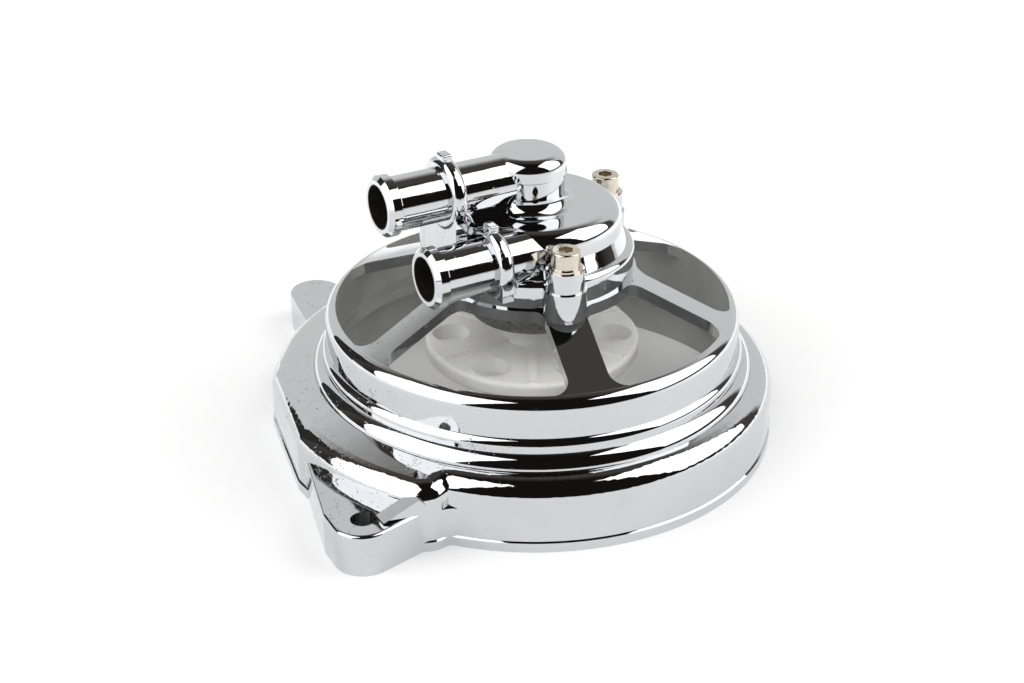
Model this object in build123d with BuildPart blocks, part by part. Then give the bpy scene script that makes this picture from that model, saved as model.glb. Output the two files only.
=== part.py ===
"""Flywheel cover with coolant pump for a small liquid-cooled scooter engine.

A chromed casting covers the flywheel. Six spokes carry its hub, and on the hub sits the coolant
pump: a chromed pump cover with two hose nipples, an impeller, a seal, and a shaft that a white
nylon disc drives from the flywheel below.

Frame: origin on the pump axis at the mounting face, +Z up through the pump, nipples towards -X.
Units: millimetres.
"""
from build123d import *
from math import cos, radians, sin, sqrt
import os

os.makedirs("parts", exist_ok=True)

# ---- driving dimensions: flywheel cover casting ----
WALL = 3.2                  # general wall of the casting
SKIRT_R = 74.2              # outside radius of the skirt at the mounting face
SHOULDER_TOP = 22.3         # where the gently falling shoulder meets the third ring
SHOULDER_DROP = 0.2         # fall of the shoulder for each millimetre outwards
SHOULDER_EDGE = 6.2         # rounding between shoulder and skirt
CORNER_ROUND = 6.6          # least radius of the skirt's outline
FOOT_BAND = 3.3             # height of the slightly proud band at the foot of the skirt
FOOT_STEP = 0.45
FOOT_CHAMFER = 0.4
RING_3_R = 67.8             # lowest and widest of the three stepped rings
RING_3_Z = 21.4             # height of the centre of its rounding
RING_3_ROUND = 5.2
RING_2_R = 64.7
RING_2_Z = 27.6
RING_2_ROUND = 3.0
RING_1_R = 63.2             # the tall top ring that carries the rounded lip
LIP_R = 60.0                # inside edge of the lip, which is also the outside of the windows
LIP_Z = 38.2
LIP_ROUND = 3.9
LIP_TOP = 42.0              # height of the lip's inside edge

HUB_R = 32.0                # flat plate in the middle of the spokes
HUB_TOP = 53.5
PLATE = 3.6                 # thickness of hub plate and spokes
SCREW_ANGLES = (17.0, 122.0, 257.0)     # pump screws, each on a broad spoke
NARROW_ANGLES = (72.0, 189.6, 315.3)    # narrow spokes between them
BROAD_SPOKE = 12.0
NARROW_SPOKE = 8.2
WINDOW_CORNER = 4.8

EAR_TOP = 13.0
EAR_R = 8.8                 # rounding of each ear around its hole
EAR_EDGE = 1.0
EAR_HOLE_R = 3.5            # clearance for an M6 screw
BLIND_HOLE_R = 2.5          # thread for an M6 screw from below
BLIND_HOLE = 10.0
EAR_BLEND = 6.0             # fillet between an ear and the skirt
EAR_ROOT_R = 3.0
FRONT_EAR = (-78.8, -44.6)
REAR_EAR = (-34.0, 91.0)
SIDE_EAR = (56.5, 73.0)
RIB_TOP = 17.6              # low rib from the front ear up to the shoulder
CORNER = (-69.0, 35.0)      # centre of the rounded corner between the two flat flanks
FLANK_FRONT = (-83.4, -37.5)
FLANK_REAR = (-43.0, 71.5)
FLANK_EAR = (-59.1, -46.8)  # the skirt runs straight from its round part to here
FLANK_R = 4.0               # rounding at the corner and at the flanks' ends
FLANK_LIMIT_R = 80.8        # the shoulder ends here, and the ears go on below it

# ---- driving dimensions: coolant pump ----
JOINT = 58.6                # joint face between hub platform and pump cover
PLATFORM_R = 30.4
SCREW_CIRCLE_R = 32.6
LUG_R = 6.3                 # lugs of the hub platform under the pump screws
BOSS_R = 5.6                # bosses of the pump cover
BOSS_TOP = 67.4
SCREW_R = 2.5               # M5
SCREW_CLEARANCE_R = 2.75
SCREW_HEAD_R = 4.25
SCREW_HEAD = 5.0
HEX_AF = 4.0
HEX_DEPTH = 2.6
WASHER = 0.8
WASHER_R = 4.9
SCREW_END = 50.6
O_RING_R = 26.2             # middle of the O-ring's groove
O_RING_CORD_R = 0.9

FLANGE_R = 30.6
FLANGE_TOP = 62.2
FLANGE_ROUND = 2.0
FLARE_R = 28.4              # the volute's wall flares out to this at the flange
FLARE_TOP = 66.6
VOLUTE_R = 26.6
VOLUTE_TOP = 75.0
VOLUTE_ROUND = 5.0
CHAMBER_R = 22.0
CHAMBER_TOP = 72.2

TOWER_X = -1.8
TOWER_R = 11.0
TOWER_CAP_R = 11.6
TOWER_STEP = 84.5
TOWER_TOP = 91.2
TOWER_ROUND = 3.9
TOWER_BASE_ROUND = 4.0
TOWER_BORE_R = 7.4
TOWER_BORE_TOP = 87.6

TUBE_R = 8.0                # hose nipple for a 16 mm hose
TUBE_BORE_R = 6.25
BEAD_R = 9.0
BEAD = 4.4
BEAD_CHAMFER = 1.2
COLLAR_R = 11.0
COLLAR = 4.8
COLLAR_ROUND = 2.0
NIPPLE = 19.0               # from the collar's face to the mouth
WEB = 13.0                  # width of the web under each tube
INLET_Z = 83.2
INLET_COLLAR_X = -31.5      # face of the inlet's collar
OUTLET_Z = 66.8
OUTLET_Y = -17.6
OUTLET_COLLAR_X = -26.0
OUTLET_END_X = -18.0        # where the outlet's bore narrows into the volute's channel
CHANNEL_R = 5.0
CHANNEL_END_X = -4.0
NUB = (3.2, 4.4, 2.6)       # small cast block on top of each collar
NUB_PROUD = 1.3
NUB_ROUND = 0.6

# ---- driving dimensions: shaft, bearings, seals and drive disc ----
SHAFT_R = 4.0
SHAFT_BOTTOM = 18.6
SHAFT_TOP = 70.6
SHAFT_CHAMFER = 0.6
CARRIER_R = 19.4
CARRIER_BOTTOM = 39.0
CARRIER_LEDGE_R = 22.6
CARRIER_LEDGE = 2.2
CARRIER_EDGE = 2.0
BEARING_R = 9.5             # ball bearing 8 x 19 x 6
BEARING_WIDTH = 6.0
INNER_SHOULDER_R = 5.7
OUTER_SHOULDER_R = 7.8
BALL_R = 1.55
BALLS = 8
GROOVE_PLAY = 0.08          # between each ball and its grooves
CAGE_INNER_R = 6.1
CAGE_OUTER_R = 7.4
CAGE_HEIGHT = 4.2
BEARING_BOTTOMS = {"lower": 41.4, "upper": 47.4}
CIRCLIP_BOTTOM = 40.4
CIRCLIP = 0.9
CIRCLIP_R = 10.2
CIRCLIP_INNER_R = 8.3
OIL_SEAL_BOTTOM = 53.6
SEAL_SEAT = 56.2
SEAL_R = 9.0
SEAL_CUP_TOP = 59.6
SEAL_SHELL = 0.7
SPRING_R = 6.4
SPRING_WIRE_R = 0.35
SPRING_TURNS = 3
CARBON_R = 7.4
CARBON_BOTTOM = 59.2
SEAL_FACE = 61.2
CERAMIC_R = 7.8
CERAMIC_TOP = 63.2
RUNNING = 0.05              # running clearance, radial and at the seal's faces

IMPELLER_R = 19.0
IMPELLER_BACK = 62.0
IMPELLER_PLATE = 2.2
IMPELLER_HUB_R = 6.5
VANE_TOP = 69.6
VANES = 6
VANE_THICKNESS = 1.8

DISC_R = 33.0
DISC_TOP = 30.0
DISC = 5.0
DISC_EDGE = 1.4
DISC_HUB_R = 9.0
DISC_HUB_TOP = 35.0
DISC_PCD_R = 25.0
DISC_HOLE_R = 5.75
DISC_HOLES = 6
DISC_HOLE_ANGLE = -29.0
DISC_RIB_WIDTH = 2.4
DISC_RIB = 0.8
DRIVE_PIN_R = 1.25
DRIVE_PIN_Z = 32.4
DRIVE_PIN = 16.0
SPACER_R = 6.0
NUT_AF = 13.0
NUT = 4.0
DISC_WASHER_R = 8.0
DISC_WASHER = 1.4


def polar(radius, angle):
    """A point in the XY plane at a radius and an angle in degrees."""
    return (radius * cos(radians(angle)), radius * sin(radians(angle)))


def circles(part, radius, height):
    """Circular edges of a part that have this radius and lie at this height."""
    return part.edges().filter_by(GeomType.CIRCLE).filter_by(
        lambda e: abs(e.radius - radius) < 0.01 and abs(e.arc_center.Z - height) < 0.01
    )


def tube(outer, inner, bottom, top):
    """A plain ring about the pump axis."""
    with BuildPart() as ring:
        with BuildSketch(Plane.XY.offset(bottom)):
            Circle(outer)
            Circle(inner, mode=Mode.SUBTRACT)
        extrude(amount=top - bottom)
    return ring.part


def save(solid, label):
    """Label a finished piece and write it as its own STEP file."""
    solid.label = label
    export_step(solid, f"parts/{label}.step")


SCREW_SPOTS = [polar(SCREW_CIRCLE_R, angle) for angle in SCREW_ANGLES]
SPOKES = [(angle, BROAD_SPOKE) for angle in SCREW_ANGLES]
SPOKES += [(angle, NARROW_SPOKE) for angle in NARROW_ANGLES]
EAR_ROOTS = {
    FRONT_EAR: [(-84.4, -37.5), (-77.6, -10.0), (-57.0, -45.5)],
    REAR_EAR: [(-43.0, 70.5), (-20.0, 68.0)],
    SIDE_EAR: [(50.0, 48.0), (30.0, 62.0)],
}
RIB_Y = -47.6
RIB_WIDTH = 5.0
RIB_OUTLINE = [(-75.0, EAR_TOP - 2), (-75.0, EAR_TOP + 0.4), (-64.0, RIB_TOP), (-58.0, EAR_TOP - 2)]
SPOKE_FALL = (HUB_TOP - LIP_TOP) / (LIP_R - HUB_R)
FAR_R = 100.0               # beyond every edge of the casting


# inside of the casting, from the axis at the foot round to the axis at the lip
HOLLOW = [
    (0, 0),
    (SKIRT_R - WALL, 0),
    (SKIRT_R - WALL, RING_3_Z - 2.1 * WALL),
    (RING_3_R, RING_3_Z - WALL),
    (RING_3_R - 1.4 * WALL, RING_3_Z - 0.8 * WALL),
    (RING_3_R - 1.4 * WALL, RING_3_Z + 0.4 * WALL),
    (LIP_R, RING_2_Z),
    (LIP_R, FAR_R),
    (0, FAR_R),
]


# ---- flywheel cover ----
def ear_outline(tip, roots):
    """Hull around an ear's rounded tip and the rounded roots where it leaves the casting."""
    with BuildSketch() as outline:
        with Locations(tip):
            Circle(EAR_R)
        with Locations(roots):
            Circle(EAR_ROOT_R)
        make_hull()
    return outline.sketch


def on_round(radius, centre_z, size, at_r):
    """Height of a rounding, whose outer radius and centre height are given, at another radius."""
    return centre_z + sqrt(size**2 - (at_r - radius + size) ** 2)


def rounding(start, end, centre):
    """Convex arc between two points of a profile about a centre."""
    mid = (Vector(*start) + Vector(*end)) * 0.5
    out = (mid - Vector(*centre)).normalized()
    size = (Vector(*start) - Vector(*centre)).length
    return ThreePointArc(start, Vector(*centre) + out * size, end)


with BuildSketch() as skirt_plan:
    # two flat flanks meet in a rounded corner on the nipple side
    with Locations(CORNER, FLANK_FRONT, FLANK_REAR, FLANK_EAR):
        Circle(FLANK_R)
    with Locations((-20.0, 0.0)):
        Circle(40.0)
    make_hull()
    Circle(SKIRT_R)
    Circle(FLANK_LIMIT_R, mode=Mode.INTERSECT)
    # no outside corner tighter than the shoulder's edge
    offset(amount=-CORNER_ROUND)
    offset(amount=CORNER_ROUND)

with BuildPart() as ears:
    # three ears blended into the skirt's outline, as high as the ears are
    with BuildSketch():
        add(skirt_plan.sketch)
        for tip, roots in EAR_ROOTS.items():
            add(ear_outline(tip, roots))
        offset(amount=EAR_BLEND)
        offset(amount=-EAR_BLEND)
    extrude(amount=EAR_TOP)
    fillet(ears.faces().sort_by(Axis.Z)[-1].outer_wire().edges(), EAR_EDGE)
    with BuildSketch(Plane.XZ.offset(-RIB_Y)):
        with BuildLine():
            Polyline(*RIB_OUTLINE, close=True)
        make_face()
    extrude(amount=RIB_WIDTH / 2, both=True)

with BuildPart() as spider:
    # hub plate and sloping spokes, cut by six windows with rounded corners
    with BuildSketch(Plane.XZ):
        with BuildLine():
            Polyline(
                (0, HUB_TOP),
                (HUB_R, HUB_TOP),
                (LIP_R, LIP_TOP),
                (LIP_R, LIP_TOP - PLATE),
                (HUB_R, HUB_TOP - PLATE),
                (0, HUB_TOP - PLATE),
                close=True,
            )
        make_face()
    revolve()
    with BuildSketch(Plane.XY.offset(LIP_TOP - 3 * PLATE)) as windows:
        Circle(LIP_R)
        Circle(HUB_R - 0.6, mode=Mode.SUBTRACT)
        for angle, width in SPOKES:
            with Locations(Location((0, 0, 0), (0, 0, angle))):
                Rectangle(FAR_R, width, align=(Align.MIN, Align.CENTER), mode=Mode.SUBTRACT)
        fillet(windows.vertices(), WINDOW_CORNER)
    extrude(amount=HUB_TOP, mode=Mode.SUBTRACT)
    # platform and three lugs that the pump cover stands on
    with BuildSketch(Plane.XY.offset(HUB_TOP - 1)):
        Circle(PLATFORM_R)
        with Locations(SCREW_SPOTS):
            Circle(LUG_R)
    extrude(amount=JOINT - HUB_TOP + 1)

RING_2_ROOT = on_round(RING_2_R, RING_2_Z, RING_2_ROUND, RING_1_R)
RING_3_ROOT = on_round(RING_3_R, RING_3_Z, RING_3_ROUND, RING_2_R)

with BuildPart() as foot_band:
    # slightly proud band along the foot of the skirt
    with BuildSketch():
        add(skirt_plan.sketch)
        offset(amount=FOOT_STEP)
    extrude(amount=FOOT_BAND)
    chamfer(foot_band.faces().sort_by(Axis.Z)[-1].outer_wire().edges(), FOOT_CHAMFER)

with BuildPart() as skirt:
    # skirt with its flanks, cut back by the slope of the shoulder
    with BuildSketch():
        add(skirt_plan.sketch)
    extrude(amount=SHOULDER_TOP)
    with BuildSketch(Plane.XZ):
        with BuildLine():
            Polyline(
                (RING_3_R, SHOULDER_TOP + 1),
                (RING_3_R, SHOULDER_TOP),
                (FAR_R, SHOULDER_TOP - SHOULDER_DROP * (FAR_R - RING_3_R)),
                (FAR_R, SHOULDER_TOP + 1),
                close=True,
            )
        make_face()
    revolve(mode=Mode.SUBTRACT)
    outline_edges = skirt.faces().filter_by(GeomType.CONE).edges().filter_by(
        lambda e: Vector((e @ 0.5).X, (e @ 0.5).Y).length > SKIRT_R - 0.5
    )
    fillet(outline_edges, SHOULDER_EDGE)
    add(foot_band.part)

with BuildPart() as flywheel_cover:
    add(skirt.part)
    # ears for the mounting screws
    add(ears.part)
    # stepped rings and the rounded lip
    with BuildSketch(Plane.XZ):
        with BuildLine():
            Polyline(
                (LIP_R, LIP_TOP),
                (LIP_R, RING_2_Z),
                (RING_3_R - WALL, RING_3_Z),
                (RING_3_R - WALL, SHOULDER_TOP - WALL),
                (RING_3_R, SHOULDER_TOP - WALL),
                (RING_3_R, RING_3_Z),
            )
            rounding((RING_3_R, RING_3_Z), (RING_2_R, RING_3_ROOT), (RING_3_R - RING_3_ROUND, RING_3_Z))
            Line((RING_2_R, RING_3_ROOT), (RING_2_R, RING_2_Z))
            rounding((RING_2_R, RING_2_Z), (RING_1_R, RING_2_ROOT), (RING_2_R - RING_2_ROUND, RING_2_Z))
            Line((RING_1_R, RING_2_ROOT), (RING_1_R, LIP_Z))
            rounding((RING_1_R, LIP_Z), (LIP_R, LIP_TOP), (RING_1_R - LIP_ROUND, LIP_Z))
        make_face()
    revolve()
    # hollow for the flywheel
    with BuildSketch(Plane.XZ):
        with BuildLine():
            Polyline(*HOLLOW, close=True)
        make_face()
    revolve(mode=Mode.SUBTRACT)
    add(spider.part)
    # seat of the bearing carrier, O-ring groove, threads for the pump screws, ear holes
    with BuildSketch(Plane.XY.offset(HUB_TOP - 2 * PLATE)):
        Circle(CARRIER_R)
    extrude(amount=JOINT, mode=Mode.SUBTRACT)
    with BuildSketch(Plane.XY.offset(JOINT)):
        Circle(O_RING_R + O_RING_CORD_R)
        Circle(O_RING_R - O_RING_CORD_R, mode=Mode.SUBTRACT)
    extrude(amount=-1.5 * O_RING_CORD_R, mode=Mode.SUBTRACT)
    with Locations([(x, y, JOINT) for x, y in SCREW_SPOTS]):
        Hole(SCREW_R, depth=JOINT - HUB_TOP + PLATE)
    with Locations((*FRONT_EAR, EAR_TOP), (*SIDE_EAR, EAR_TOP)):
        Hole(EAR_HOLE_R, depth=EAR_TOP)
    with BuildSketch():
        with Locations(REAR_EAR):
            Circle(BLIND_HOLE_R)
    extrude(amount=BLIND_HOLE, mode=Mode.SUBTRACT)

# one casting, written as three pieces that meet face to face: hub with spokes, rings, skirt
with BuildPart() as hub_zone:
    with BuildSketch(Plane.XY):
        Circle(LIP_R)
    extrude(amount=FAR_R)
with BuildPart() as skirt_zone:
    with BuildSketch(Plane.XY):
        Circle(2 * FAR_R)
    extrude(amount=SHOULDER_TOP)
save(flywheel_cover.part & hub_zone.part, "cover_spider")
save((flywheel_cover.part - hub_zone.part) - skirt_zone.part, "cover_rings")
save(flywheel_cover.part & skirt_zone.part, "cover_skirt")


# ---- pump cover: volute, inlet tower and two hose nipples ----
with BuildPart() as nub:
    Box(*NUB, align=(Align.CENTER, Align.CENTER, Align.MAX))
    fillet(nub.edges().filter_by(Axis.Z) + nub.faces().sort_by(Axis.Z)[-1].edges(), NUB_ROUND)


def nipple(collar_x, y, z, root_x, foot_z):
    """Hose nipple towards -X with its bead, collar, tongue and the web under the tube."""
    mouth_x = collar_x - NIPPLE
    with BuildPart() as body:
        with BuildSketch(Plane.XZ.offset(-y)):
            with BuildLine():
                Polyline(
                    (root_x, z),
                    (mouth_x, z),
                    (mouth_x, z + BEAD_R - BEAD_CHAMFER),
                    (mouth_x + BEAD_CHAMFER, z + BEAD_R),
                    (mouth_x + BEAD - 0.6, z + BEAD_R),
                    (mouth_x + BEAD, z + TUBE_R),
                    (collar_x, z + TUBE_R),
                    (collar_x, z + COLLAR_R),
                    (collar_x + COLLAR, z + COLLAR_R),
                    (collar_x + COLLAR, z + TUBE_R),
                    (root_x, z + TUBE_R),
                    close=True,
                )
            make_face()
        revolve(axis=Axis((0, y, z), (1, 0, 0)))
        rims = body.edges().filter_by(GeomType.CIRCLE).filter_by(
            lambda e: abs(e.radius - COLLAR_R) < 0.01
        )
        fillet(rims, COLLAR_ROUND)
        with Locations((collar_x + COLLAR / 2, y, z + COLLAR_R + NUB_PROUD)):
            add(nub.part)
        with BuildSketch(Plane.XY.offset(foot_z)):
            with Locations((collar_x + COLLAR / 2, y)):
                Rectangle(COLLAR - 1.2, 2 * COLLAR_R - COLLAR_ROUND)
            with Locations((collar_x + COLLAR / 2, y)):
                Rectangle(root_x - collar_x, WEB, align=(Align.MIN, Align.CENTER))
        extrude(amount=z - foot_z)
        with BuildSketch(Plane.XY.offset(foot_z)):
            with Locations((collar_x, y)):
                Rectangle(root_x - collar_x, 4 * COLLAR_R, align=(Align.MIN, Align.CENTER))
        extrude(amount=-COLLAR_R, mode=Mode.SUBTRACT)
    return body.part


def nipple_bore(collar_x, y, z, end_x):
    """Straight bore of a nipple, from its mouth inwards."""
    mouth_x = collar_x - NIPPLE
    with BuildPart() as bore:
        with BuildSketch(Plane.YZ.offset(mouth_x)):
            with Locations((y, z)):
                Circle(TUBE_BORE_R)
        extrude(amount=end_x - mouth_x)
    return bore.part


with BuildPart() as tower:
    # blind turret over the impeller's eye, where the inlet turns downwards
    with BuildSketch(Plane.XZ):
        with BuildLine():
            Polyline(
                (0, VOLUTE_TOP - 2),
                (TOWER_R, VOLUTE_TOP - 2),
                (TOWER_R, TOWER_STEP),
                (TOWER_CAP_R, TOWER_STEP + 0.4),
                (TOWER_CAP_R, TOWER_TOP),
                (0, TOWER_TOP),
                close=True,
            )
        make_face()
    revolve()
    fillet(circles(tower, TOWER_CAP_R, TOWER_TOP), TOWER_ROUND)

with BuildPart() as pump_cover:
    # volute that flares out to the rounded flange
    with BuildSketch(Plane.XZ):
        with BuildLine():
            Polyline(
                (0, JOINT),
                (FLANGE_R, JOINT),
                (FLANGE_R, FLANGE_TOP),
                (FLARE_R, FLANGE_TOP),
                (VOLUTE_R, FLARE_TOP),
                (VOLUTE_R, VOLUTE_TOP),
                (0, VOLUTE_TOP),
                close=True,
            )
        make_face()
    revolve()
    fillet(circles(pump_cover, VOLUTE_R, VOLUTE_TOP), VOLUTE_ROUND)
    fillet(circles(pump_cover, FLANGE_R, FLANGE_TOP), FLANGE_ROUND)
    add(tower.part.moved(Location((TOWER_X, 0, 0))))
    fillet(circles(pump_cover, TOWER_R, VOLUTE_TOP), TOWER_BASE_ROUND)
    # screw lugs and bosses
    with BuildSketch(Plane.XY.offset(JOINT)):
        with Locations(SCREW_SPOTS):
            Circle(LUG_R)
    extrude(amount=FLANGE_TOP - FLANGE_ROUND / 2 - JOINT)
    with BuildSketch(Plane.XY.offset(JOINT)):
        with Locations(SCREW_SPOTS):
            Circle(BOSS_R)
    extrude(amount=BOSS_TOP - JOINT)
    add(nipple(INLET_COLLAR_X, 0, INLET_Z, TOWER_X - TOWER_R + 3, JOINT))
    add(nipple(OUTLET_COLLAR_X, OUTLET_Y, OUTLET_Z, -1, JOINT))
    # impeller chamber, inlet passage, tangential outlet, screw holes
    with BuildSketch(Plane.XY.offset(JOINT)):
        Circle(CHAMBER_R)
    extrude(amount=CHAMBER_TOP - JOINT, mode=Mode.SUBTRACT)
    with BuildSketch(Plane.XY.offset(CHAMBER_TOP - 1)):
        with Locations((TOWER_X, 0)):
            Circle(TOWER_BORE_R)
    extrude(amount=TOWER_BORE_TOP - CHAMBER_TOP + 1, mode=Mode.SUBTRACT)
    add(nipple_bore(INLET_COLLAR_X, 0, INLET_Z, TOWER_X), mode=Mode.SUBTRACT)
    add(nipple_bore(OUTLET_COLLAR_X, OUTLET_Y, OUTLET_Z, OUTLET_END_X), mode=Mode.SUBTRACT)
    with BuildSketch(Plane.YZ.offset(OUTLET_END_X)):
        with Locations((OUTLET_Y, OUTLET_Z)):
            Circle(CHANNEL_R)
    extrude(amount=CHANNEL_END_X - OUTLET_END_X, mode=Mode.SUBTRACT)
    with Locations([(x, y, BOSS_TOP) for x, y in SCREW_SPOTS]):
        Hole(SCREW_CLEARANCE_R, depth=BOSS_TOP - JOINT)

save(pump_cover.part, "pump_cover")

# ---- pump cover fasteners and seal ----
with BuildPart() as pump_cover_screws:
    head_bottom = BOSS_TOP + WASHER
    for x, y in SCREW_SPOTS:
        with BuildSketch(Plane((x, y, SCREW_END))):
            Circle(SCREW_R)
        extrude(amount=head_bottom - SCREW_END)
        with BuildSketch(Plane((x, y, head_bottom))):
            Circle(SCREW_HEAD_R)
        extrude(amount=SCREW_HEAD)
    tops = circles(pump_cover_screws, SCREW_HEAD_R, head_bottom + SCREW_HEAD)
    fillet(tops, 0.5)
    for x, y in SCREW_SPOTS:
        with BuildSketch(Plane((x, y, head_bottom + SCREW_HEAD))):
            RegularPolygon(HEX_AF / 2, 6, major_radius=False)
        extrude(amount=-HEX_DEPTH, mode=Mode.SUBTRACT)

save(pump_cover_screws.part, "pump_cover_screws")

with BuildPart() as pump_cover_washers:
    with BuildSketch(Plane.XY.offset(BOSS_TOP)):
        with Locations(SCREW_SPOTS):
            Circle(WASHER_R)
            Circle(SCREW_CLEARANCE_R, mode=Mode.SUBTRACT)
    extrude(amount=WASHER)

save(pump_cover_washers.part, "pump_cover_washers")

with BuildPart() as pump_cover_o_ring:
    with BuildSketch(Plane.XZ):
        with Locations((O_RING_R, JOINT - 0.75 * O_RING_CORD_R)):
            Circle(0.75 * O_RING_CORD_R)
    revolve()

save(pump_cover_o_ring.part, "pump_cover_o_ring")

# ---- bearing carrier ----
with BuildPart() as bearing_carrier:
    with BuildSketch(Plane.XY.offset(CARRIER_BOTTOM)):
        Circle(CARRIER_R)
    extrude(amount=JOINT - CARRIER_BOTTOM)
    fillet(circles(bearing_carrier, CARRIER_R, CARRIER_BOTTOM), CARRIER_EDGE)
    with BuildSketch(Plane.XY.offset(HUB_TOP - PLATE - CARRIER_LEDGE)):
        Circle(CARRIER_LEDGE_R)
    extrude(amount=CARRIER_LEDGE)
    with BuildSketch(Plane.XY.offset(CARRIER_BOTTOM)):
        Circle(BEARING_R)
    extrude(amount=SEAL_SEAT - CARRIER_BOTTOM, mode=Mode.SUBTRACT)
    with BuildSketch(Plane.XY.offset(CIRCLIP_BOTTOM)):
        Circle(CIRCLIP_R)
    extrude(amount=CIRCLIP, mode=Mode.SUBTRACT)
    with BuildSketch(Plane.XY.offset(SEAL_SEAT)):
        Circle(SEAL_R)
    extrude(amount=JOINT - SEAL_SEAT, mode=Mode.SUBTRACT)

save(bearing_carrier.part, "bearing_carrier")

# ---- two ball bearings, each as outer ring, inner ring, balls and cage ----
BALL_CIRCLE_R = (INNER_SHOULDER_R + OUTER_SHOULDER_R) / 2
for name, bottom in BEARING_BOTTOMS.items():
    middle = bottom + BEARING_WIDTH / 2
    with BuildPart() as outer_ring:
        add(tube(BEARING_R, OUTER_SHOULDER_R, bottom, bottom + BEARING_WIDTH))
        with BuildSketch(Plane.XZ):
            with Locations((BALL_CIRCLE_R, middle)):
                Circle(BALL_R + GROOVE_PLAY)
        revolve(mode=Mode.SUBTRACT)
    save(outer_ring.part, f"{name}_bearing_outer_ring")

    with BuildPart() as inner_ring:
        add(tube(INNER_SHOULDER_R, SHAFT_R, bottom, bottom + BEARING_WIDTH))
        with BuildSketch(Plane.XZ):
            with Locations((BALL_CIRCLE_R, middle)):
                Circle(BALL_R + GROOVE_PLAY)
        revolve(mode=Mode.SUBTRACT)
    save(inner_ring.part, f"{name}_bearing_inner_ring")

    ball_spots = [(*polar(BALL_CIRCLE_R, 360 / BALLS * (i + 0.5)), middle) for i in range(BALLS)]
    with BuildPart() as balls:
        with Locations(ball_spots):
            Sphere(BALL_R)
    save(balls.part, f"{name}_bearing_balls")

    with BuildPart() as cage:
        add(tube(CAGE_OUTER_R, CAGE_INNER_R, middle - CAGE_HEIGHT / 2, middle + CAGE_HEIGHT / 2))
        for x, y, z in ball_spots:
            with BuildSketch(Plane((0, 0, z), x_dir=(0, 0, 1), z_dir=(x, y, 0))):
                Circle(BALL_R + GROOVE_PLAY)
            extrude(amount=BEARING_R, mode=Mode.SUBTRACT)
    save(cage.part, f"{name}_bearing_cage")

with BuildPart() as bearing_circlip:
    # internal ring with a gap between two eyes
    with BuildSketch(Plane.XY.offset(CIRCLIP_BOTTOM)):
        Circle(CIRCLIP_R)
        Circle(CIRCLIP_INNER_R, mode=Mode.SUBTRACT)
        with Locations((CIRCLIP_INNER_R, 0)):
            Rectangle(6, 2.4, mode=Mode.SUBTRACT)
        with Locations((CIRCLIP_INNER_R, 2.4), (CIRCLIP_INNER_R, -2.4)):
            Circle(1.2)
            Circle(0.5, mode=Mode.SUBTRACT)
    extrude(amount=CIRCLIP)

save(bearing_circlip.part, "bearing_circlip")

# ---- seals ----
with BuildPart() as oil_seal:
    with BuildSketch(Plane.XZ):
        with BuildLine():
            Polyline(
                (BEARING_R, OIL_SEAL_BOTTOM),
                (BEARING_R, SEAL_SEAT),
                (SHAFT_R + 1.6, SEAL_SEAT),
                (SHAFT_R + RUNNING, SEAL_SEAT - 0.9),
                (SHAFT_R + RUNNING, SEAL_SEAT - 1.5),
                (SHAFT_R + 2.4, OIL_SEAL_BOTTOM + 0.6),
                (SHAFT_R + 2.8, OIL_SEAL_BOTTOM),
                close=True,
            )
        make_face()
    revolve()

save(oil_seal.part, "oil_seal")

with BuildPart() as seal_cup:
    # thin pressed cup that holds the spring and the carbon ring
    with BuildSketch(Plane.XZ):
        with BuildLine():
            Polyline(
                (SHAFT_R + 0.8, SEAL_SEAT),
                (SEAL_R, SEAL_SEAT),
                (SEAL_R, SEAL_CUP_TOP),
                (SEAL_R - SEAL_SHELL, SEAL_CUP_TOP),
                (SEAL_R - SEAL_SHELL, SEAL_SEAT + SEAL_SHELL),
                (SHAFT_R + 0.8, SEAL_SEAT + SEAL_SHELL),
                close=True,
            )
        make_face()
    revolve()

save(seal_cup.part, "seal_cup")

SPRING_BOTTOM = SEAL_SEAT + SEAL_SHELL + SPRING_WIRE_R
SPRING_HEIGHT = CARBON_BOTTOM - SPRING_WIRE_R - SPRING_BOTTOM
with BuildPart() as seal_spring:
    with BuildLine(Plane.XY.offset(SPRING_BOTTOM)) as coil:
        Helix(SPRING_HEIGHT / SPRING_TURNS, SPRING_HEIGHT, SPRING_R)
    with BuildSketch(Plane(coil.line @ 0, z_dir=coil.line % 0)):
        Circle(SPRING_WIRE_R)
    sweep(is_frenet=True)

save(seal_spring.part, "seal_spring")

save(tube(CARBON_R, SHAFT_R + 0.6, CARBON_BOTTOM, SEAL_FACE), "seal_carbon_ring")
save(tube(CERAMIC_R, SHAFT_R, SEAL_FACE + RUNNING, CERAMIC_TOP), "seal_ceramic_ring")


# ---- impeller ----
def vane_outline(angle):
    """One backward-curved vane as a band along an arc from the hub to the rim."""
    start = polar(IMPELLER_HUB_R - 1, angle)
    middle = polar((IMPELLER_HUB_R + IMPELLER_R) / 2, angle - 18)
    end = polar(IMPELLER_R - 1.4, angle - 55)
    with BuildSketch() as outline:
        with BuildLine() as spine:
            ThreePointArc(start, middle, end)
        trace(spine.line, VANE_THICKNESS)
    return outline.sketch


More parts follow.
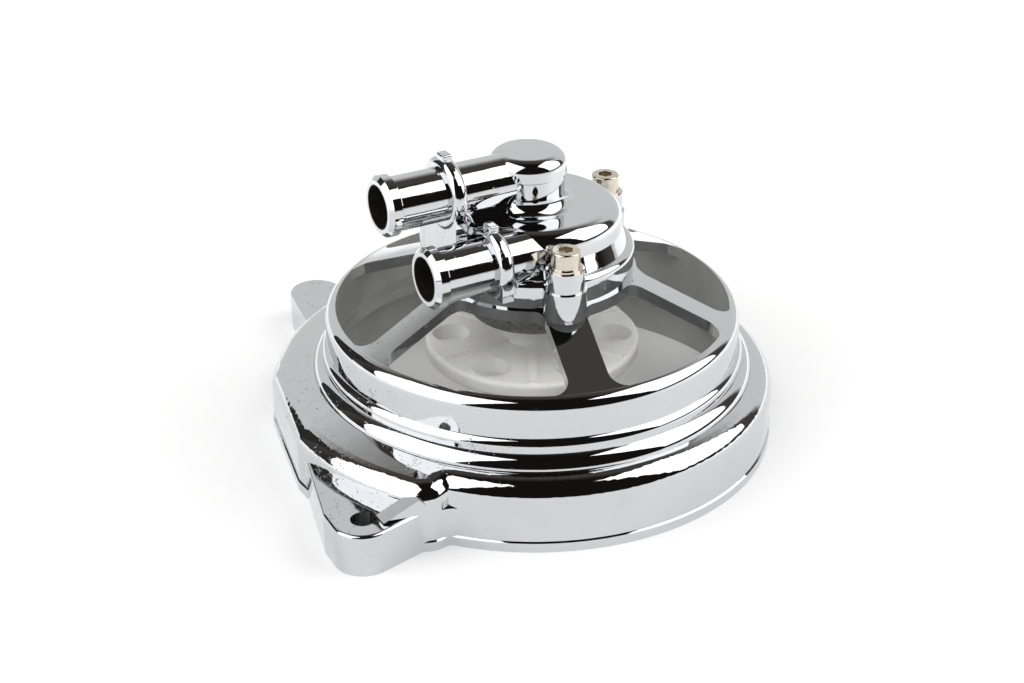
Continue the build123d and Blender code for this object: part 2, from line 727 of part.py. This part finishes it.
with BuildPart() as impeller:
    with BuildSketch(Plane.XY.offset(IMPELLER_BACK)):
        Circle(IMPELLER_R)
    extrude(amount=IMPELLER_PLATE)
    with BuildSketch(Plane.XY.offset(IMPELLER_BACK + IMPELLER_PLATE)):
        Circle(IMPELLER_HUB_R)
        for i in range(VANES):
            add(vane_outline(360 / VANES * i))
    extrude(amount=VANE_TOP - IMPELLER_BACK - IMPELLER_PLATE)
    with BuildSketch(Plane.XY.offset(IMPELLER_BACK)):
        Circle(CERAMIC_R)
    extrude(amount=CERAMIC_TOP - IMPELLER_BACK, mode=Mode.SUBTRACT)
    with Locations((0, 0, VANE_TOP)):
        Hole(SHAFT_R, depth=VANE_TOP - IMPELLER_BACK)

save(impeller.part, "impeller")

# ---- shaft, spacer, drive disc and what holds it ----
with BuildPart() as pump_shaft:
    with BuildSketch(Plane.XY.offset(SHAFT_BOTTOM)):
        Circle(SHAFT_R)
    extrude(amount=SHAFT_TOP - SHAFT_BOTTOM)
    chamfer(pump_shaft.edges().filter_by(GeomType.CIRCLE), SHAFT_CHAMFER)
    with BuildSketch(Plane.YZ.offset(-SHAFT_R)):
        with Locations((0, DRIVE_PIN_Z)):
            Circle(DRIVE_PIN_R)
    extrude(amount=2 * SHAFT_R, mode=Mode.SUBTRACT)

save(pump_shaft.part, "pump_shaft")

with BuildPart() as drive_pin:
    with BuildSketch(Plane.YZ.offset(-DRIVE_PIN / 2)):
        with Locations((0, DRIVE_PIN_Z)):
            Circle(DRIVE_PIN_R)
    extrude(amount=DRIVE_PIN)

save(drive_pin.part, "drive_pin")

save(tube(SPACER_R, SHAFT_R, DISC_HUB_TOP, BEARING_BOTTOMS["lower"]), "shaft_spacer")

with BuildPart() as drive_disc:
    with BuildSketch(Plane.XY.offset(DISC_TOP - DISC)):
        Circle(DISC_R)
    extrude(amount=DISC)
    fillet(drive_disc.edges().filter_by(GeomType.CIRCLE), DISC_EDGE)
    with BuildSketch(Plane.XY.offset(DISC_TOP)):
        Circle(DISC_HUB_R)
    extrude(amount=DISC_HUB_TOP - DISC_TOP)
    # low ribs between the holes
    with BuildSketch(Plane.XY.offset(DISC_TOP)):
        with PolarLocations(0, DISC_HOLES, DISC_HOLE_ANGLE + 180 / DISC_HOLES):
            Rectangle(DISC_R - DISC_EDGE, DISC_RIB_WIDTH, align=(Align.MIN, Align.CENTER))
    extrude(amount=DISC_RIB)
    with Locations(Plane.XY.offset(DISC_TOP)):
        with PolarLocations(DISC_PCD_R, DISC_HOLES, DISC_HOLE_ANGLE):
            Hole(DISC_HOLE_R, depth=DISC)
    with Locations((0, 0, DISC_HUB_TOP)):
        Hole(SHAFT_R, depth=DISC_HUB_TOP - DISC_TOP + DISC)
    with BuildSketch(Plane.YZ.offset(-DRIVE_PIN / 2)):
        with Locations((0, DRIVE_PIN_Z)):
            Circle(DRIVE_PIN_R)
    extrude(amount=DRIVE_PIN, mode=Mode.SUBTRACT)

save(drive_disc.part, "drive_disc")

DISC_BOTTOM = DISC_TOP - DISC
save(tube(DISC_WASHER_R, SHAFT_R, DISC_BOTTOM - DISC_WASHER, DISC_BOTTOM), "disc_washer")

with BuildPart() as disc_nut:
    with BuildSketch(Plane.XY.offset(DISC_BOTTOM - DISC_WASHER - NUT)):
        RegularPolygon(NUT_AF / 2, 6, major_radius=False)
        Circle(SHAFT_R, mode=Mode.SUBTRACT)
    extrude(amount=NUT)

save(disc_nut.part, "disc_nut")
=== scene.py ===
import math
import bpy
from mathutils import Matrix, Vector


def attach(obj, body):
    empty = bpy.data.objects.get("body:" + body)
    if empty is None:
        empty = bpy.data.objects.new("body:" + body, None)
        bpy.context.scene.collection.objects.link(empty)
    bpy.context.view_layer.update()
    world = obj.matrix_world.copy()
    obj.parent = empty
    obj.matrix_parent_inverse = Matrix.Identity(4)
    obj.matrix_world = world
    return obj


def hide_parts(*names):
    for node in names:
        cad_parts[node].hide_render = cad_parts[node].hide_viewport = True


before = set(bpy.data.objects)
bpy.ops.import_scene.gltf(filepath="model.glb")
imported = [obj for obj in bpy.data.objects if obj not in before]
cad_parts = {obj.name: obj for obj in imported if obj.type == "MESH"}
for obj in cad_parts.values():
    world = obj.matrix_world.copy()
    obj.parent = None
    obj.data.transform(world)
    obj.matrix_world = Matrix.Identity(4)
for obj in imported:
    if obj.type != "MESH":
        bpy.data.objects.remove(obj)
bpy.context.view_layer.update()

# Flywheel cover with coolant pump. Metres, in the frame of the CAD model: pump axis on Z,
# mounting face at z = 0, nipples towards -X.

scene = bpy.context.scene
scene.view_settings.view_transform = "Standard"

# ---- sizes of the object that the materials need ----
# surfaces of the casting beyond this radius that face the axis are its raw inside
INNER_WALL_R = (0.055, 0.057)
FACING_AXIS = (0.35, 0.60)
# surfaces below this height that face down are raw too
HUB_UNDERSIDE = (0.056, 0.052)
FACING_DOWN = (-0.50, -0.75)
BORE_R = 0.0064
BORE_EDGE = 0.0002
INLET_BORE = (0.0, 0.0832, 0.0)         # y and z of its axis, x where it ends
OUTLET_BORE = (-0.0176, 0.0668, -0.004)

# ---- camera ----
CAMERA_PLACE = (-0.2401, -0.4204, 0.2879)
CAMERA_TURN = -29.0         # its azimuth; 0 looks along +Y
CAMERA_TILT = 28.33
LENS = 62.4
SENSOR_WIDTH = 36
TURN = math.radians(CAMERA_TURN)
VIEW_AHEAD = (-math.sin(TURN), math.cos(TURN), 0)   # level direction that the camera looks in

cam_data = bpy.data.cameras.new("camera")
cam_data.lens = LENS
cam_data.sensor_width = SENSOR_WIDTH
cam = bpy.data.objects.new("camera", cam_data)
cam.location = CAMERA_PLACE
cam.rotation_euler = (math.radians(90 - CAMERA_TILT), 0, math.radians(CAMERA_TURN))
scene.collection.objects.link(cam)
scene.camera = cam


class Shader:
    """Small helper that builds one node tree step by step."""

    def __init__(self, tree):
        self.tree = tree

    def node(self, kind, **settings):
        made = self.tree.nodes.new("ShaderNode" + kind)
        for key, value in settings.items():
            setattr(made, key, value)
        return made

    def put(self, socket, value):
        """Link an output or set a plain value."""
        if isinstance(value, bpy.types.NodeSocket):
            self.tree.links.new(value, socket)
        elif socket.type == "RGBA" and len(value) == 3:
            socket.default_value = (*value, 1)
        else:
            socket.default_value = value

    def math(self, operation, a, b=0.0, clamp=False):
        made = self.node("Math", operation=operation, use_clamp=clamp)
        self.put(made.inputs[0], a)
        self.put(made.inputs[1], b)
        return made.outputs[0]

    def vector(self, operation, a, b=(0, 0, 0)):
        made = self.node("VectorMath", operation=operation)
        self.put(made.inputs[0], a)
        self.put(made.inputs[1], b)
        return made.outputs["Value"] if operation in ("DOT_PRODUCT", "LENGTH") else made.outputs[0]

    def step(self, value, low, high, out_low=0.0, out_high=1.0):
        """Smooth step of a value from low to high, high may be the smaller."""
        made = self.node("MapRange", interpolation_type="SMOOTHSTEP")
        self.put(made.inputs["Value"], value)
        low_first = low < high
        made.inputs["From Min"].default_value = low if low_first else high
        made.inputs["From Max"].default_value = high if low_first else low
        made.inputs["To Min"].default_value = out_low if low_first else out_high
        made.inputs["To Max"].default_value = out_high if low_first else out_low
        return made.outputs[0]

    def parts(self, vector):
        made = self.node("SeparateXYZ")
        self.put(made.inputs[0], vector)
        return made.outputs

    def join(self, x, y, z):
        made = self.node("CombineXYZ")
        for socket, value in zip(made.inputs, (x, y, z)):
            self.put(socket, value)
        return made.outputs[0]

    def colour(self, factor, a, b):
        made = self.node("Mix", data_type="RGBA")
        self.put(made.inputs["Factor"], factor)
        self.put(made.inputs["A"], a)
        self.put(made.inputs["B"], b)
        return made.outputs["Result"]

    def value(self, factor, a, b):
        made = self.node("Mix", data_type="FLOAT")
        self.put(made.inputs["Factor"], factor)
        self.put(made.inputs["A"], a)
        self.put(made.inputs["B"], b)
        return made.outputs["Result"]

    def noise(self, place, scale, detail=4.0, rough=0.55):
        made = self.node("TexNoise")
        self.put(made.inputs["Vector"], place)
        made.inputs["Scale"].default_value = scale
        made.inputs["Detail"].default_value = detail
        made.inputs["Roughness"].default_value = rough
        return made.outputs[0]

    def specks(self, place, scale, size):
        """Small round spots, one at most in each cell, 1 in the middle of a spot."""
        made = self.node("TexVoronoi")
        self.put(made.inputs["Vector"], place)
        made.inputs["Scale"].default_value = scale
        return self.step(made.outputs["Distance"], size, 0.4 * size)

    def bump(self, height, distance, strength=1.0, below=None):
        made = self.node("Bump")
        self.put(made.inputs["Height"], height)
        made.inputs["Distance"].default_value = distance
        made.inputs["Strength"].default_value = strength
        if below is not None:
            self.put(made.inputs["Normal"], below)
        return made.outputs[0]


def material(name):
    """A new material, its helper, its principled shader and the object's own coordinates."""
    made = bpy.data.materials.new(name)
    made.use_nodes = True
    shader = Shader(made.node_tree)
    surface = made.node_tree.nodes["Principled BSDF"]
    place = shader.node("TexCoord").outputs["Object"]
    return made, shader, surface, place


# ---- floor, lights and room ----
FLOOR_SIZE = 12
CARD_AZIMUTH = -112         # from the camera's side, negative to its left
CARD_DISTANCE = 0.45
CARD_WIDTH = 0.17
CARD_HEIGHT = 0.40
LIGHT_TARGET = Vector((0, 0, 0.04))
WATTS_PER_AREA = 4          # power of an area light for a radiance of 1 and an area of 1
# azimuth and elevation in degrees, distance, width and height in metres, radiance, seen in mirrors
LIGHTS = {
    "softbox left": (-61, 33, 1.3, 1.42, 1.85, 1.7, True),
    "softbox right": (87, 38, 1.3, 1.15, 1.45, 1.8, True),
    "front fill": (0, 48, 1.4, 0.9, 0.9, 2.2, False),
}
DARK_ROOM = (0.010, 0.009, 0.008)
DIM_CEILING = (0.075, 0.066, 0.058)
BACKDROP = (0.82, 0.82, 0.81)
WHITE = (1.0, 1.0, 1.0)


def floor_material():
    """Matt white paper that glows with painted light from its emission, brighter away from the object
    and behind it.
    """
    made, s, surface, place = material("paper floor")
    fibre = s.noise(place, 900, 3)
    s.put(surface.inputs["Base Color"], s.colour(fibre, (0.885, 0.885, 0.885), (0.905, 0.905, 0.905)))
    s.put(surface.inputs["Roughness"], s.step(fibre, 0.2, 0.8, 0.85, 1.0))
    surface.inputs["Specular IOR Level"].default_value = 0.15
    x, y, _ = s.parts(place)
    radius = s.vector("LENGTH", s.join(x, y, 0.0))
    behind = s.vector("DOT_PRODUCT", place, VIEW_AHEAD)
    # painted light: the floor's glow, weak close to the object and stronger away from it and behind
    # it, fills its shade
    near_painted_glow = s.step(behind, -0.16, 0.0, 0.02, 0.10)
    far_painted_glow = s.math("MULTIPLY", s.step(behind, -0.25, 0.05), s.step(radius, 0.10, 0.30, 0.0, 0.5))
    s.put(surface.inputs["Emission Color"], WHITE)
    s.put(surface.inputs["Emission Strength"], s.math("ADD", near_painted_glow, far_painted_glow))
    return made


def card_material():
    """Black woven card."""
    made, s, surface, place = material("black card")
    weave = s.noise(place, 300, 3)
    s.put(surface.inputs["Base Color"], s.colour(weave, (0.012, 0.011, 0.010), (0.022, 0.020, 0.018)))
    surface.inputs["Roughness"].default_value = 0.9
    return made


bpy.ops.mesh.primitive_plane_add(size=FLOOR_SIZE)
floor = bpy.context.object
floor.name = "paper_floor"
floor.data.materials.append(floor_material())


def area_light(name, azimuth, elevation, distance, width, height, radiance, mirrored):
    """Large even light; azimuth is counted from the camera's side, negative to its left."""
    light = bpy.data.lights.new(name, "AREA")
    light.shape = "RECTANGLE"
    light.size = width
    light.size_y = height
    light.energy = radiance * WATTS_PER_AREA * width * height
    box = bpy.data.objects.new(name, light)
    a, e = math.radians(azimuth + CAMERA_TURN), math.radians(elevation)
    away = Vector((math.sin(a) * math.cos(e), -math.cos(a) * math.cos(e), math.sin(e)))
    box.location = LIGHT_TARGET + distance * away
    box.rotation_euler = (-away).to_track_quat("-Z", "Y").to_euler()
    box.visible_glossy = mirrored
    scene.collection.objects.link(box)


for light_name, settings in LIGHTS.items():
    area_light(light_name, *settings)

# dark card standing on the floor between the left softbox and the backdrop
bpy.ops.mesh.primitive_plane_add(size=1)
card = bpy.context.object
card.name = "dark_card"
card_turn = math.radians(CARD_AZIMUTH + CAMERA_TURN)
card.location = (
    CARD_DISTANCE * math.sin(card_turn),
    -CARD_DISTANCE * math.cos(card_turn),
    CARD_HEIGHT / 2,
)
card.rotation_euler = (math.radians(90), 0, card_turn)
card.scale = (CARD_WIDTH, CARD_HEIGHT, 1)
card.data.materials.append(card_material())
card.visible_camera = False


def studio_world():
    """Room behind the lights: a pale backdrop low behind the object, darkness elsewhere."""
    world = bpy.data.worlds.new("studio")
    world.use_nodes = True
    world.node_tree.nodes.clear()
    s = Shader(world.node_tree)
    direction = s.node("TexCoord").outputs["Generated"]
    behind = s.vector("DOT_PRODUCT", direction, VIEW_AHEAD)
    up = s.parts(direction)[2]
    level = s.math("SQRT", s.math("SUBTRACT", 1.0, s.math("MULTIPLY", up, up), clamp=True))
    across = s.math("DIVIDE", behind, s.math("MAXIMUM", level, 0.01))
    backdrop = s.math("MULTIPLY", s.step(across, 0.52, 0.62), s.step(up, 0.86, 0.56))
    ceiling = s.colour(s.step(behind, -0.1, 0.3), DARK_ROOM, DIM_CEILING)
    room = s.colour(backdrop, ceiling, BACKDROP)
    seen = s.node("LightPath").outputs["Is Camera Ray"]
    background = s.node("Background")
    s.put(background.inputs["Color"], s.colour(seen, room, WHITE))
    s.put(s.node("OutputWorld").inputs["Surface"], background.outputs[0])
    return world


scene.world = studio_world()

# ---- rings of the casting, turned finely enough for clear reflections ----
RING_3 = (0.0678, 0.0214, 0.0052)   # outer radius, height and size of each rounding
RING_2 = (0.0647, 0.0276, 0.0030)
RING_1_R = 0.0632
LIP = (0.0632, 0.0382, 0.0039)
LIP_R = 0.0600
SHOULDER_TOP = 0.0223
HOLLOW_R = 0.06332
HOLLOW_TOP = 0.02268
ARC_STEPS = 40
TURN_STEPS = 720
SHARP_ANGLE = math.radians(25)


def height_on(ring, radius):
    """Height of a ring's rounding at a radius."""
    return ring[1] + math.sqrt(ring[2] ** 2 - (radius - ring[0] + ring[2]) ** 2)


def arc_on(ring, start, end):
    """Points of a ring's rounding between two heights."""
    centre_r, centre_z, size = ring[0] - ring[2], ring[1], ring[2]
    first = math.asin((start - centre_z) / size)
    last = math.asin(min((end - centre_z) / size, 1.0))
    angles = [first + (last - first) * i / ARC_STEPS for i in range(ARC_STEPS + 1)]
    return [(centre_r + size * math.cos(a), centre_z + size * math.sin(a)) for a in angles]


def turned(name, profile):
    """Closed ring mesh from a closed profile of radius and height."""
    count = len(profile)
    verts = []
    for i in range(TURN_STEPS):
        a = 2 * math.pi * i / TURN_STEPS
        verts += [(r * math.cos(a), r * math.sin(a), z) for r, z in profile]
    faces = []
    for i in range(TURN_STEPS):
        here, there = i * count, (i + 1) % TURN_STEPS * count
        for k in range(count):
            n = (k + 1) % count
            faces.append((here + k, there + k, there + n, here + n))
    mesh = bpy.data.meshes.new(name)
    mesh.from_pydata(verts, [], faces)
    mesh.shade_smooth()
    mesh.set_sharp_from_angle(angle=SHARP_ANGLE)
    made = bpy.data.objects.new(name, mesh)
    scene.collection.objects.link(made)
    return made


rings = turned("turned_rings", [
    (HOLLOW_R, SHOULDER_TOP),
    *arc_on(RING_3, SHOULDER_TOP, height_on(RING_3, RING_2[0])),
    *arc_on(RING_2, RING_2[1], height_on(RING_2, RING_1_R)),
    *arc_on(LIP, LIP[1], height_on(LIP, LIP_R)),
    (LIP_R, RING_2[1]),
    (HOLLOW_R, HOLLOW_TOP),
])
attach(rings, "housing")
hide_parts("cover_rings")


# ---- materials ----
def chromed_casting():
    """Bright chrome outside, dull raw casting inside, near-black painted shade in each bore, pits and
    rough spots.
    """
    made, s, surface, place = material("chromed_casting")
    x, y, z = s.parts(place)
    facing = s.node("NewGeometry").outputs["Normal"]
    radius = s.vector("LENGTH", s.join(x, y, 0.0))
    outwards = s.vector("NORMALIZE", s.join(x, y, 0.0))
    inward = s.math("MULTIPLY", s.vector("DOT_PRODUCT", facing, outwards), -1.0)
    inner = s.math("MULTIPLY", s.step(inward, *FACING_AXIS), s.step(radius, *INNER_WALL_R))
    down = s.step(s.parts(facing)[2], *FACING_DOWN)
    under = s.math("MULTIPLY", down, s.step(z, *HUB_UNDERSIDE))
    inside = s.math("MAXIMUM", inner, under)

    def bore(axis_y, axis_z, end):
        off_y = s.math("SUBTRACT", y, axis_y)
        off_z = s.math("SUBTRACT", z, axis_z)
        off = s.vector("LENGTH", s.join(0.0, off_y, off_z))
        within = s.step(off, BORE_R + BORE_EDGE, BORE_R)
        return s.math("MULTIPLY", within, s.step(x, end, end - 0.001))

    # where the bores open, for the painted shade of the hole
    bore_painted_shade = s.math("MAXIMUM", bore(*INLET_BORE), bore(*OUTLET_BORE))

    # pits come in patches, most of them low on the nipple side
    patch = s.noise(place, 26, 3)
    lean = s.math("MULTIPLY", x, -2.2)
    patch = s.step(s.math("ADD", patch, lean), 0.58, 0.80)
    pits = s.math("MULTIPLY", s.specks(place, 1300, 0.34), s.step(s.noise(place, 240, 2), 0.54, 0.62))
    pits = s.math("MULTIPLY", pits, patch)
    dust = s.math("MULTIPLY", s.specks(place, 900, 0.16), 0.5)
    haze = s.step(s.noise(place, 55, 6, 0.7), 0.45, 0.8)

    bright = s.colour(haze, (0.615, 0.625, 0.640), (0.575, 0.585, 0.600))
    bright = s.colour(s.math("MULTIPLY", dust, 0.35), bright, (0.30, 0.29, 0.28))
    bright = s.colour(s.math("MULTIPLY", pits, 0.85), bright, (0.10, 0.095, 0.09))
    grain = s.noise(place, 1100, 5, 0.7)
    dull = s.colour(grain, (0.40, 0.40, 0.395), (0.56, 0.56, 0.55))
    mottled = s.step(s.noise(place, 70, 4), 0.35, 0.7)
    dull = s.colour(s.math("MULTIPLY", mottled, 0.4), dull, (0.30, 0.295, 0.29))
    skin = s.colour(inside, bright, dull)
    # painted shade: the bore openings are coloured near black
    s.put(surface.inputs["Base Color"], s.colour(bore_painted_shade, skin, (0.035, 0.033, 0.03)))

    glossy = s.math("ADD", s.step(haze, 0.0, 1.0, 0.035, 0.075), s.math("MULTIPLY", pits, 0.35))
    roughness = s.value(inside, glossy, s.step(grain, 0.2, 0.8, 0.38, 0.52))
    s.put(surface.inputs["Roughness"], s.value(bore_painted_shade, roughness, 0.55))
    s.put(surface.inputs["Metallic"], s.value(inside, 1.0, 0.35))

    waves = s.bump(s.noise(place, 95, 2), 0.00006)
    peel = s.bump(s.noise(place, 420, 2), 0.000008, below=waves)
    holes = s.bump(s.math("MULTIPLY", pits, -1.0), 0.00012, below=peel)
    sand = s.math("MULTIPLY", s.math("MAXIMUM", inside, bore_painted_shade), grain)
    s.put(surface.inputs["Normal"], s.bump(sand, 0.0005, below=holes))
    return made


def mottled(name, light, dark, metallic, roughness, scale, height, stretch=1, blotch=60):
    """A surface of two tones with a fine grain and slow blotches, for the plainer pieces."""
    made, s, surface, place = material(name)
    grain = s.noise(s.vector("MULTIPLY", place, (1, 1, stretch)), scale, 5, 0.6)
    slow = s.noise(place, blotch, 3)
    mixed = s.math("ADD", s.math("MULTIPLY", grain, 0.6), s.math("MULTIPLY", slow, 0.4))
    s.put(surface.inputs["Base Color"], s.colour(s.step(mixed, 0.3, 0.7), dark, light))
    s.put(surface.inputs["Roughness"], s.step(mixed, 0.3, 0.7, roughness[1], roughness[0]))
    surface.inputs["Metallic"].default_value = metallic
    s.put(surface.inputs["Normal"], s.bump(grain, height))
    return made


def translucent(made, weight, reach):
    """Let light spread under the surface of a material."""
    surface = made.node_tree.nodes["Principled BSDF"]
    surface.inputs["Subsurface Weight"].default_value = weight
    surface.inputs["Subsurface Radius"].default_value = reach
    surface.inputs["Subsurface Scale"].default_value = 1.0


# light tone, dark tone, metallic, roughness range, grain scale, grain height, stretch, blotch scale
PLAIN = {
    "raw_casting": (
        (0.34, 0.335, 0.33), (0.15, 0.148, 0.145), 0.8, (0.40, 0.58), 900, 0.0007, 1, 60),
    "nickel_steel": (
        (0.70, 0.65, 0.56), (0.56, 0.51, 0.43), 1.0, (0.08, 0.18), 700, 0.00004, 3, 60),
    "white_nylon": (
        (0.94, 0.94, 0.91), (0.86, 0.855, 0.82), 0.0, (0.36, 0.5), 260, 0.00006, 1, 34),
    "ground_steel": (
        (0.64, 0.64, 0.65), (0.52, 0.52, 0.53), 1.0, (0.12, 0.26), 1600, 0.00002, 4, 60),
    "pressed_steel": (
        (0.56, 0.57, 0.58), (0.42, 0.43, 0.44), 1.0, (0.25, 0.4), 500, 0.00004, 1, 60),
    "spring_steel": (
        (0.33, 0.33, 0.34), (0.20, 0.20, 0.21), 0.9, (0.35, 0.5), 900, 0.00003, 1, 60),
    "rubber": (
        (0.045, 0.045, 0.045), (0.022, 0.022, 0.022), 0.0, (0.55, 0.75), 1200, 0.00004, 1, 60),
    "black_plastic": (
        (0.055, 0.055, 0.058), (0.03, 0.03, 0.032), 0.0, (0.38, 0.55), 700, 0.00005, 1, 60),
    "carbon": (
        (0.07, 0.07, 0.072), (0.04, 0.04, 0.042), 0.1, (0.25, 0.4), 1500, 0.00002, 1, 60),
    "ceramic": (
        (0.88, 0.87, 0.83), (0.80, 0.79, 0.75), 0.0, (0.12, 0.25), 900, 0.00001, 1, 60),
}
MATERIALS = {"chromed_casting": chromed_casting()}
for slot_name, settings in PLAIN.items():
    MATERIALS[slot_name] = mottled(slot_name, *settings)
translucent(MATERIALS["white_nylon"], 0.35, (0.004, 0.0038, 0.003))

rings.data.materials.append(MATERIALS["chromed_casting"])
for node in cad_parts.values():
    for held in node.material_slots:
        held.material = MATERIALS[held.material.name.split(".")[0]]
